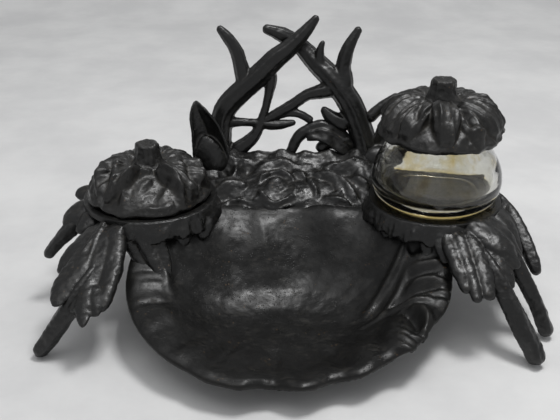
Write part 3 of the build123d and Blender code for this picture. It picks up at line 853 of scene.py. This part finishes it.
def make_tray_leaves():
    left = heap()
    well_ruff(left, -1, -112, 14, 38.6, 1.75, 6)
    face = (0.1, -0.6, 0.8)
    petal(left, [(-83, -12, 50), (-79, -16, 44), (-73, -21, 36), (-66, -27, 29)], [4.5, 5, 4, 1.2],
          (-0.2, -0.3, 0.9), 0.5)
    petal(left, [(-76, -13, 50), (-72, -18, 43.5), (-67, -23, 35), (-62, -30, 27)], [3.6, 4, 3.2, 1],
          (0, -0.3, 0.9), 0.6)
    petal(left, [(-68, -12, 49.5), (-65, -17, 42), (-62, -22, 34), (-59.5, -30, 25)],
          [3.4, 3.6, 2.8, 0.9], face, 0.6)
    petal(left, [(-56, -4, 50), (-55, -8, 44), (-55, -12, 37)], [5, 5.4, 2], face, 0.5)
    petal(left, [(-46, 2, 50), (-45, -2, 45), (-45, -6, 39)], [5, 5.4, 2], face, 0.5)
    cast("left_tray_leaf_casting", left, "left_tray_leaf", LEAF_BLACK, voxel=0.6, soften=1, swell=0.9,
         grit=0.45)

    right = heap()
    well_ruff(right, 1, 166, 292, 38.6, 1.75, 7)
    face = (-0.15, -0.6, 0.8)
    petal(right, [(41, 20, 50), (42, 12, 44), (41.5, 5, 36), (40.5, 0, 30)], [5, 5.4, 4, 1.2], face, 0.5)
    petal(right, [(48, 8, 50), (49, 1, 43), (49, -5, 34.5)], [4.6, 5, 1.6], face, 0.5)
    petal(right, [(56, 0, 49.5), (57.5, -6, 42), (56.5, -12, 33)], [4.4, 4.6, 1.4], face, 0.5)
    petal(right, [(64, -8, 49.5), (66, -14, 43), (66, -20, 35.5)], [4, 4.2, 1.6], face, 0.5)
    petal(right, [(70, -13, 49.5), (72.5, -20, 44), (73, -27, 37)], [3.6, 4, 1.6], face, 0.5)
    cast("right_tray_leaf_casting", right, "right_tray_leaf", LEAF_BLACK, voxel=0.6, soften=1,
         swell=0.9, grit=0.45)


# ---- fruit and leaf mound between the wells --------------------------------------------------------------
MOUND_SLOPE = [  # y and height down the middle of the mound
    (6, 40.0), (12, 43.5), (18, 46.2), (24, 48.4), (32, 51.4), (42, 55.0), (52, 58.4), (60, 59.4),
    (66, 57.5), (70, 54.0),
]
MOUND_FOLDS = [  # course of each fold or crease, its height (below 0 for a crease) and its width
    ([(-50, 14), (-41, 16), (-30, 19), (-21, 21.5), (-18, 22.5), (-12, 24)], 2.6, 2.2),
    ([(-44, 12), (-32, 15), (-22, 18), (-17, 19)], -1.6, 2.4),
    ([(-22, 20), (-22.5, 25), (-21, 31), (-18, 38)], -3.4, 3.0),
    ([(-46, 28), (-38, 30), (-30, 33), (-26, 32), (-22, 28)], 2.6, 2.2),
    ([(-44, 24), (-34, 25), (-27, 26)], -2.2, 2.2),
    ([(-48, 38), (-40, 35), (-33, 37), (-30, 43), (-33, 50)], 2.6, 2.4),
    ([(-46, 46), (-38, 50), (-28, 49), (-22, 53)], 2.4, 2.6),
    ([(-40, 41), (-36, 42), (-34, 44)], -3.0, 3.4),
    ([(-28, 38), (-25, 44), (-22, 48)], -2.4, 2.6),
    ([(-20, 44), (-12, 48), (-3, 48), (4, 44)], 2.4, 2.4),
    ([(0, 43), (4, 40), (8, 37), (11, 31), (13, 26), (11, 22)], 3.2, 2.2),
    ([(2, 36), (5, 31), (7, 25), (6, 20)], -3.4, 2.6),
    ([(8, 40), (10, 38), (12, 35)], -3.2, 2.4),
    ([(11, 43), (18, 40), (25, 37), (31, 30), (35, 24)], 2.8, 2.2),
    ([(14, 36), (19, 33), (22, 27)], -2.8, 2.8),
    ([(17, 46), (25, 46.5), (32, 47.5), (44, 49)], 2.4, 2.2),
    ([(20, 43), (28, 42), (36, 42)], -2.4, 2.4),
    ([(16, 25), (21, 22), (28, 19), (34, 16)], 2.2, 2.2),
    ([(26, 28), (30, 23), (36, 19)], -2.2, 2.2),
    ([(32, 38), (38, 35), (43, 30)], 2.2, 2.2),
    ([(-10, 54), (0, 55), (12, 54), (24, 55)], 1.6, 3.0),
    ([(-36, 20), (-30, 23), (-26, 22)], 1.6, 2.0),
]
MOUND_BULGES = [  # x, y, height and breadth of each rounded bulge or hollow
    (-8.2, 31.5, 6.0, 6.2), (-8.2, 20.5, -1.4, 6.0), (-14.5, 18.5, 3.0, 4.4), (-0.5, 19.0, 3.0, 4.6),
    (-29, 40, 2.0, 4.0), (-38, 41, -1.6, 5.0), (22, 33, 1.6, 5.0), (36, 45, 3.0, 7.0),
    (-44, 52, 3.0, 7.0), (27, 24, 2.0, 4.0), (7, 50, 1.6, 5.0), (-36, 33, 1.6, 4.0),
    (40, 22, -1.0, 5.0), (-33, 56, 5.0, 5.5), (-19, 57, 3.0, 5.0), (-6, 56, 4.5, 5.5),
    (8, 57, 2.6, 4.6), (21, 56, 4.2, 5.5), (36, 57, 4.6, 5.5),
]
CUP = (-8.2, 30.5, 10.2)  # middle and radius of the leaf cup round the fruit
MOUND_HALF_X = 54
MOUND_DEPTH = (14.5, 70)  # y of its front and back
FRONT_METAL, BACK_METAL = 2.0, 7.0  # its thickness where it runs into the tray, and behind


def tray_level(x, y):
    """Height of the tray's upper face at a place, or nan outside it."""
    place = TRAY_FACE.ray_cast(Vector((x, y, 90)), Vector((0, 0, -1)))[0]
    return place.z if place else math.nan


def make_mound():
    """The crumpled leaves and fruit between the wells, one continuous cast surface."""
    x, y = np.meshgrid(np.linspace(-MOUND_HALF_X, MOUND_HALF_X, 260), np.linspace(*MOUND_DEPTH, 160))
    at, level = zip(*MOUND_SLOPE)
    z = np.interp(y, at, level) - 0.0011 * np.clip(np.abs(x) - 20, 0, None) ** 2
    for course, height, width in MOUND_FOLDS:
        z = z + 1.15 * height * lie_along(x, y, course, width)
    for bx, by, height, breadth in MOUND_BULGES:
        z = z + height * np.exp(-((x - bx) ** 2 + (y - by) ** 2) / breadth**2)
    around = np.hypot(x - CUP[0], (y - CUP[1]) * 0.95)
    rim = np.exp(-(((around - CUP[2]) / 1.7) ** 2))
    rim = rim * (1.0 + 0.35 * np.cos(5 * np.arctan2(y - CUP[1], x - CUP[0])))
    z = z + 2.4 * rim - 1.8 * np.exp(-(((around - 7.6) / 1.5) ** 2))
    left = np.hypot(x + WELL_X, y - WELL_Y)
    right = np.hypot(x - WELL_X, y - WELL_Y)
    z = np.where(left < 45, np.minimum(z, 52.6 + 1.3 * np.clip(left - 32.5, 0, None)), z)
    z = np.where(right < 45, np.minimum(z, 51.0 + 1.5 * np.clip(right - 34.5, 0, None)), z)
    bed = np.array([tray_level(*place) for place in zip(x.ravel(), y.ravel())]).reshape(x.shape)
    begin = 18.0 + 1.3 * np.sin(0.21 * x + 1.0) + 0.9 * np.sin(0.47 * x + 2.0)
    rise = np.clip((y - begin) / 4.0, 0, 1)
    rise = rise**2 * (3 - 2 * rise)
    z = np.where(np.isnan(bed), z, rise * z + (1 - rise) * (bed - 0.9))
    clay = heap()
    slab(clay, np.stack([x, y, z], axis=2),
         BACK_METAL - (BACK_METAL - FRONT_METAL) * np.clip((26 - y) / 9, 0, 1))
    ball(clay, (-2, 42, 45), (45, 22, 9))
    cast("fruit_mound_casting", clay, "fruit_mound", LEAF_BLACK, voxel=0.65, soften=1, swell=1.9, grit=0.5)


# ---- antler rack -----------------------------------------------------------------------------------------
def antler_limb(clay, points, radii, ridges=8):
    stalk(clay, points, radii, grooves=ridges, depth=0.055, turns=0.35, blunt=0.9, ring=40)


def make_rack():
    left = heap()
    antler_limb(left, [(-41, 60, 52), (-40, 63, 66), (-38.8, 65.2, 78.7), (-34.7, 66.6, 86.4),
                       (-27.6, 67.8, 93.3), (-18.2, 69.3, 101.7), (-8.9, 70.9, 110.7),
                       (-1.2, 72, 116.7), (6.4, 73.3, 124.1), (14.3, 75, 133.6)],
                [7.5, 6.4, 5.9, 6.2, 6.2, 6.2, 5.8, 5, 3.8, 1.9])
    antler_limb(left, [(-26, 68.4, 94), (-26.4, 68.9, 99.4), (-28.2, 70.4, 107.7), (-30.4, 71.7, 115.2),
                       (-34.9, 72.9, 121.9), (-40.5, 74.1, 128.1)], [4.4, 4.3, 4, 3.6, 3.1, 1.7], 6)
    antler_limb(left, [(-12, 69.5, 104), (-11.3, 68.9, 99.4), (-12.8, 67.4, 91), (-15.2, 65.7, 81.8),
                       (-18.4, 64, 72.4), (-23.2, 62.9, 66.1), (-29.6, 62, 61.4), (-34, 61.5, 58)],
                [3.8, 3.2, 2.4, 2.3, 2.8, 3.6, 4.4, 4.4], 6)
    antler_limb(left, [(-37.2, 64.7, 76.3), (-28.6, 64.7, 76.3), (-20, 64.7, 75.9), (-9, 64.5, 74.8),
                       (2.8, 64.7, 76.3)], [3.9, 2.6, 2.4, 3.1, 1.6], 6)
    cast("left_antler_casting", left, "left_antler", ANTLER_BLACK, voxel=0.6, soften=2, swell=0.6, grit=0.4)

    right = heap()
    antler_limb(right, [(42, 60, 52), (41.5, 62, 60), (40.8, 62.9, 66.1), (36.6, 65, 77.9),
                        (30.8, 67.1, 89.5), (22, 70, 100.2), (12.7, 75, 108.5), (4.9, 77.6, 115.9),
                        (-4.3, 77.5, 121.9), (-16.1, 75.5, 127)], [7.5, 7, 6.7, 6.7, 6.6, 6.2, 5.6, 4.6,
                                                                   4.2, 2.3])
    antler_limb(right, [(29.5, 67.5, 93), (29, 68.9, 99.4), (28.5, 70.3, 107), (31, 72, 116.7),
                        (37.2, 74, 127.8)], [5, 4.9, 4.2, 3.6, 1.9], 6)
    antler_limb(right, [(16.5, 72, 105), (15.7, 71.5, 109), (15.6, 71.7, 115.2), (17.5, 72.7, 120.8)],
                [3.6, 3.2, 2.2, 1.2], 5)
    antler_limb(right, [(25, 69, 95), (16.7, 67.8, 93.3), (8.2, 67.4, 91), (-1.1, 66.3, 84.9),
                        (-12.1, 65.2, 78.7), (-18.4, 64.6, 75.5)], [5, 4.2, 3.1, 3.1, 2.7, 2], 6)
    antler_limb(right, [(33, 64.5, 74), (24, 65, 77.9), (20, 65.6, 81), (17, 66.2, 84.7)],
                [5.4, 4.2, 3.1, 1.6], 6)
    antler_limb(right, [(-12.1, 65, 77.9), (-3.5, 65.6, 81), (4.4, 65.5, 80.6), (12.2, 64.7, 76.3)],
                [2.2, 2.3, 2.3, 2.3], 5)
    cast("right_antler_casting", right, "right_antler", ANTLER_BLACK, voxel=0.6, soften=2, swell=0.6,
         grit=0.4)

    scroll = heap()
    stalk(scroll, [(-2.6, 60.6, 50), (-2.4, 60.8, 54), (0.5, 62, 61.4), (5.2, 63.5, 69.3),
                   (16.2, 64.3, 74), (26.5, 63.5, 69.3), (34.6, 61.8, 59.8)],
          [3.4, 3.2, 2.8, 3.2, 3.6, 3.6, 3.8], grooves=2, depth=0.08)
    stalk(scroll, [(32.3, 61.5, 58.2), (25.8, 62.3, 63), (19.5, 62.5, 63.7), (15.6, 61.6, 59)],
          [2.6, 2.6, 3.4, 4.4])
    blade(scroll, [(8, 62, 70), (18, 61, 72), (28, 60, 66), (36, 59, 57)], [4, 6.5, 6.5, 4],
          (0.1, -0.75, 0.6), thick=3, cup=0.12, rib=1.2, veins=3, vein=0.5)
    cast("scroll_leaf_casting", scroll, "scroll_leaf", LEAF_BLACK, voxel=0.6, soften=2)

    upright = heap()
    blade(upright, [(-44, 56, 50), (-44.5, 54, 63), (-46.5, 52.5, 76), (-50, 52, 86), (-52, 52.5, 93)],
          [9.5, 10, 8.5, 5.5, 1.2], (0, -1, 0.1), thick=3, cup=0.55, rib=-0.8, roll=0.7)
    petal(upright, [(-44, 50, 48), (-44.5, 48.5, 58), (-46, 49, 67), (-47.5, 50, 74)], [9, 9.5, 7, 2.5],
          (0, -1, 0.2), 0.5)
    petal(upright, [(-38, 52, 50), (-37.5, 53, 60), (-39, 56, 68)], [5, 5, 2.5], (0.3, -0.9, 0.2), 0.6)
    cast("left_upright_leaf_casting", upright, "left_upright_leaf", LEAF_BLACK, voxel=0.6, soften=2)

    behind = heap()
    blade(behind, [(40, 60, 52), (50, 60, 62), (58, 61, 72), (62, 62, 82)], [8, 10, 8, 2.5],
          (0.1, -0.9, 0.3), thick=3.4, cup=0.15, rib=1.2, veins=4, vein=0.7, lobes=3, lobe=0.12)
    stalk(behind, [(42.1, 64.9, 77.1), (50.4, 66.3, 84.9), (59.6, 67.5, 91.6)], [3.8, 3, 1.8])
    ball(behind, (48, 57, 56), (10, 7, 9))
    cast("right_rack_leaf_casting", behind, "right_rack_leaf", LEAF_BLACK, voxel=0.6, soften=2)

    foot = heap()
    low, high = (np.array(corner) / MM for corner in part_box("rack_foot"))
    middle = (low + high) / 2
    half = (high - low) / 2
    stalk(foot, [(low[0] + half[2], middle[1], middle[2]), (middle[0], middle[1], middle[2]),
                 (high[0] - half[2], middle[1], middle[2])], [half[2] * 0.98] * 3,
          flat=half[1] / half[2] * 0.98)
    cast("rack_foot_casting", foot, "rack_foot", ANTLER_BLACK)


# ---- lids ---------------------------------------------------------------------------------------------
LID_SECTION = [  # radius and height over the lid's upper side, from its edge to the middle of its knob
    (31.0, 0.9), (31.4, 1.7), (31.0, 2.9), (29.0, 5.2), (26.5, 7.7), (23.5, 10.2), (20.0, 12.5),
    (16.0, 14.5), (12.0, 16.0), (9.2, 17.2), (7.7, 18.6), (6.9, 20.6), (6.3, 23.0), (5.9, 25.6),
    (5.7, 27.2), (4.9, 28.1), (3.2, 28.0), (1.6, 27.6), (0.1, 27.5),
]
LID_RISE = 28.0  # from a lid's edge to the top of its knob
KNOB_FROM = 18.5  # height at which the knob starts
LOBE_RELIEF, FOLD_RELIEF = 1.75, 1.35  # how far the listed heights are drawn out
LID_UNDERSIDE = [  # and back out underneath, round the ring that centres it
    (0.1, 12.6), (6, 12.3), (12, 10.6), (17, 8.4), (20.4, 6.6), (20.5, 2.3), (20.8, 2.2), (23.8, 2.2),
    (24.0, 1.9), (24.0, -1.5), (24.3, -1.8), (26.2, -1.8), (26.5, -1.5), (26.5, 0.0), (27, 0.1),
    (30.2, 0.1),
]


def make_lid(name, node, lobes, folds, notch):
    """A domed lid of folded leaves round a cut stem. lobes hold heading, inner and outer radius, half
    width, height and bend; folds are courses in plan from the lid's middle; notch is the heading and
    depth of a nick in the edge."""
    low, high = (np.array(corner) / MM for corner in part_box(node))
    x, y = (low[:2] + high[:2]) / 2
    edge_z = high[2] - LID_RISE
    ring = 300
    turn = np.linspace(0, 2 * math.pi, ring, endpoint=False)
    profile = spread(LID_SECTION, 130)
    slope = np.gradient(profile, axis=0)
    normal = unit(np.stack([slope[:, 1], -slope[:, 0]], axis=1))
    normal = normal * np.where(normal[:, 1:2] < 0, -1, 1)
    radius = profile[:, 0][:, None] * np.ones(ring)
    plan_x = radius * np.cos(turn)
    plan_y = radius * np.sin(turn)
    dome = (profile[:, 0] > 7.4) & (profile[:, 1] < 19.5)
    weight = np.clip((31.3 - profile[:, 0]) / 2.2, 0.25, 1) * np.clip((profile[:, 0] - 7.0) / 2.5, 0, 1)
    weight = np.where(dome, weight, 0.0)
    relief = np.zeros(radius.shape)
    for heading, inner, outer, half, height, bend in lobes:
        t = np.clip((radius - inner) / (outer - inner), 0, 1)
        centre = math.radians(heading) + math.radians(bend) * t
        away = (np.angle(np.exp(1j * (turn - centre)))) * radius
        width = half * np.sin(math.pi * np.clip(0.12 + 0.80 * t, 0, 1)) ** 0.7
        v = np.clip(np.abs(away) / width, 0, 1)
        hump = height * np.sqrt(1 - v**2) * np.sin(math.pi * np.clip(0.05 + 0.93 * t, 0, 1)) ** 0.55
        hump = hump - 0.55 * np.exp(-((away / 0.9) ** 2)) * (v < 1) + 0.18 * np.cos(away * 2.4) * (v < 1)
        relief = np.maximum(relief, np.where((radius > inner) & (radius < outer + 2),
                                             LOBE_RELIEF * hump, 0))
    for course, height, width in folds:
        relief = relief + FOLD_RELIEF * height * lie_along(plan_x, plan_y, course, width)
    lift = relief * weight[:, None]
    scallop = 0.5 * np.cos(7 * turn + 1.0) + 0.35 * np.cos(17 * turn) - notch[1] * np.exp(
        -((np.angle(np.exp(1j * (turn - math.radians(notch[0])))) / 0.07) ** 2))
    near = np.clip((radius - 27) / 4, 0, 1)
    knob = np.where(profile[:, 1] > KNOB_FROM, 1.0, 0.0)[:, None]
    knob = knob * (0.22 * np.cos(6 * turn + 0.6) + 0.12 * np.cos(11 * turn))
    reach = radius + normal[:, 0][:, None] * lift + scallop * near + knob * np.clip(radius / 5, 0, 1)
    height = profile[:, 1][:, None] + normal[:, 1][:, None] * lift + 0.5 * np.cos(9 * turn + 2) * near
    top = np.stack([x + reach * np.cos(turn), y + reach * np.sin(turn), edge_z + height], axis=2)
    rings = [top]
    for under_radius, under_height in LID_UNDERSIDE:
        wave = scallop * max(0.0, (under_radius - 27) / 4)
        rings.append(np.stack([x + (under_radius + wave) * np.cos(turn),
                               y + (under_radius + wave) * np.sin(turn),
                               np.full(ring, edge_z + under_height)], axis=1)[None])
    rows = np.concatenate(rings)
    thing = mesh_object(name, rows.reshape(-1, 3), closed_ring_faces(len(rows), ring))
    roughen(thing, swell=2.3, grit=0.5)
    settle(thing)
    dress(thing, node, node, LID_BLACK)


LEFT_LOBES = [
    (-128, 9, 31, 8.5, 3.6, -6), (-163, 9, 31, 8.5, 3.8, 6), (160, 9, 31, 9, 3.2, -6),
    (120, 9, 31, 9, 3.0, 4), (78, 9, 31, 9, 3.4, -5), (38, 9, 31, 9.5, 3.2, 5),
    (-6, 10, 31, 9.5, 3.6, 8), (-42, 10, 30, 8.0, 2.6, 10),
]
LEFT_FOLDS = [
    ([(4, -10), (-2, -12), (-8, -19), (-9, -29)], 2.8, 2.0),
    ([(5, -10), (10, -11), (16, -17), (21, -24)], 3.0, 2.0),
    ([(2, -17), (6, -20), (10, -22)], -1.4, 6.0), ([(0, -29), (8, -29), (16, -25)], 1.4, 1.6),
    ([(-12, -3), (-12, -12), (-12, -24)], 1.6, 1.4), ([(-18, 0), (-20, -10), (-22, -20)], 1.8, 1.5),
    ([(-15, -2), (-16, -12), (-17, -23)], -1.6, 1.6), ([(18, 10), (24, -3), (27, -12)], 1.6, 1.6),
    ([(14, 6), (19, -4), (22, -13)], -1.4, 1.6),
]
RIGHT_LOBES = [
    (-95, 8, 30, 7.6, 4.6, 0), (-128, 9, 31, 6.4, 3.6, -8), (-165, 9, 31.5, 11, 3.2, 8),
    (158, 10, 31, 8, 3.4, -5), (122, 9, 31, 9, 3.2, 4), (84, 9, 31, 9, 3.4, -5), (44, 9, 31, 9, 3.4, 5),
    (2, 9, 31, 10, 3.6, -8), (-36, 10, 31, 8, 3.4, 4), (-66, 12, 31, 5.5, 2.6, 4),
]
RIGHT_FOLDS = [
    ([(-6, -9), (-4, -17), (-4, -26)], 0.9, 1.0), ([(0, -9), (1, -17), (0, -26)], -0.9, 1.0),
    ([(5, -12), (8, -18), (9, -24)], -2.6, 2.2), ([(9, -22), (13, -23), (17, -21)], 1.8, 1.5),
    ([(-10, -7), (-13, -14), (-15, -23)], -1.6, 1.6), ([(-12, 2), (-21, -1), (-29, -6)], 1.4, 1.4),
    ([(-13, -4), (-20, -8), (-25, -14)], -1.2, 1.6), ([(13, -1), (20, -5), (26, -10)], 1.2, 1.4),
]


# ---- glass pot ------------------------------------------------------------------------------------------
POT_MIDDLE = (WELL_X, WELL_Y, 51.5)  # centre of the ledge it stands on
# radius and height round the wall: from the middle of the foot out, up, over and down inside
POT_SECTION = [
    (0.02, 0.9), (12, 0.7), (20, 0.35), (24.5, 0.1), (26.5, 0.3), (28.2, 1.2), (29.8, 2.6), (31.3, 4.6),
    (32.5, 7.5), (33.1, 11), (33.1, 14), (32.4, 18), (30.9, 22), (28.6, 26.2), (26, 29.8), (24, 32.2),
    (22.6, 34.2), (22.3, 35.2), (23.1, 35.7), (23.6, 36.6), (23.2, 37.5), (22.2, 38.1), (20.8, 38.1),
    (19.4, 37.6), (18.7, 36.4), (18.5, 34.4), (19.2, 31.8), (21.4, 29.2), (24.4, 26.4), (27, 23),
    (28.5, 19), (29.2, 15), (29, 11.5), (27.6, 8.6), (24.6, 6.6), (19, 5.9), (11, 5.7), (0.02, 5.6),
]


def make_pot():
    ring = 144
    profile = spread(POT_SECTION, 300)
    angle = np.linspace(0, 2 * math.pi, ring, endpoint=False)
    rows = []
    for radius, height in profile:
        rows.append(np.stack([POT_MIDDLE[0] + radius * np.cos(angle),
                              POT_MIDDLE[1] + radius * np.sin(angle),
                              np.full(ring, POT_MIDDLE[2] + height)], axis=1))
    thing = mesh_object("ink_pot_glass", np.concatenate(rows), ring_faces(len(profile), ring))
    dress(thing, "ink_pot", "ink_pot", GLASS)


def carry_over(node, material):
    """A CAD part whose own shape is shown, in a better finish."""
    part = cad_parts[node]
    part.data.materials.clear()
    part.data.materials.append(material)


make_left_spray()
make_right_spray()
make_tray_leaves()
make_mound()
make_rack()
make_lid("left_lid_casting", "left_lid", LEFT_LOBES, LEFT_FOLDS, (150, 1.0))
make_lid("right_lid_casting", "right_lid", RIGHT_LOBES, RIGHT_FOLDS, (-18, 2.0))
make_pot()
for node in ("left_well_seat", "right_well_seat"):
    carry_over(node, TRAY_BLACK)
carry_over("rack_screws", STEEL)


# ---- cloth, light and surroundings ------------------------------------------------------------
def cloth_finish():
    """Plain off-white cloth, faintly mottled."""
    material = bpy.data.materials.new("pale_cloth")
    material.use_nodes = True
    tree = material.node_tree
    shader = tree.nodes["Principled BSDF"]
    shader.inputs["Roughness"].default_value = 0.9
    place = place_mm(tree)
    tone = between(tree, noise_at(tree, place, 0.012, 5.0, 0.6), 0.3, 0.7)
    colour = blend_colour(tree, tone, (0.60, 0.60, 0.60), (0.70, 0.70, 0.695))
    tree.links.new(colour, shader.inputs["Base Color"])
    bump_node = put(tree, "ShaderNodeBump")
    bump_node.inputs["Strength"].default_value = 0.15
    bump_node.inputs["Distance"].default_value = 0.6 * MM
    tree.links.new(noise_at(tree, place, 0.45, 6.0, 0.7), bump_node.inputs["Height"])
    tree.links.new(bump_node.outputs["Normal"], shader.inputs["Normal"])
    return material


CLOTH_HALF_X = 2600
CLOTH_FRONT, CLOTH_BACK, CLOTH_TOP = -900, 620, 1900  # y where the floor starts and turns up, and top
CLOTH_BEND = 420  # radius of the turn


def make_cloth():
    """The cloth under the stand, which sweeps up behind it."""
    count = 60
    across = np.linspace(-CLOTH_HALF_X, CLOTH_HALF_X, count)
    sweep = [(y, 0.0) for y in np.linspace(CLOTH_FRONT, CLOTH_BACK, 40)]
    for step in range(1, 24):
        bend = math.pi / 2 * step / 24
        sweep.append((CLOTH_BACK + CLOTH_BEND * math.sin(bend), CLOTH_BEND - CLOTH_BEND * math.cos(bend)))
    for z in np.linspace(CLOTH_BEND, CLOTH_TOP, 24):
        sweep.append((CLOTH_BACK + CLOTH_BEND, z))
    rows = np.array([[(x, y, z) for x in across] for y, z in sweep])
    faces = []
    for row in range(len(sweep) - 1):
        for step in range(count - 1):
            start = row * count + step
            faces.append((start, start + 1, start + count + 1, start + count))
    floor = mesh_object("pale_cloth_sweep", rows.reshape(-1, 3), faces)
    floor.data.shade_smooth()
    floor.data.materials.append(cloth_finish())


def make_light(name, place, aim, size, power):
    """A soft rectangular light in the room, in millimetres and watts."""
    data = bpy.data.lights.new(name, "AREA")
    data.shape = "RECTANGLE"
    data.size = size[0] * MM
    data.size_y = size[1] * MM
    data.energy = power
    lamp = bpy.data.objects.new(name, data)
    lamp.location = Vector(place) * MM
    lamp.rotation_euler = (Vector(aim) - Vector(place)).to_track_quat("-Z", "Y").to_euler()
    bpy.context.scene.collection.objects.link(lamp)


make_cloth()
make_light("window_light", (230, 10, 990), (0, 0, 30), (230, 230), 5.6)
make_light("ceiling_light", (-200, -250, 1250), (0, 0, 0), (900, 900), 3.0)

world = bpy.data.worlds.new("pale_room")
bpy.context.scene.world = world
world.use_nodes = True
world.node_tree.nodes["Background"].inputs["Color"].default_value = (0.92, 0.93, 0.95, 1.0)
world.node_tree.nodes["Background"].inputs["Strength"].default_value = 0.455
bpy.context.scene.view_settings.view_transform = "Standard"
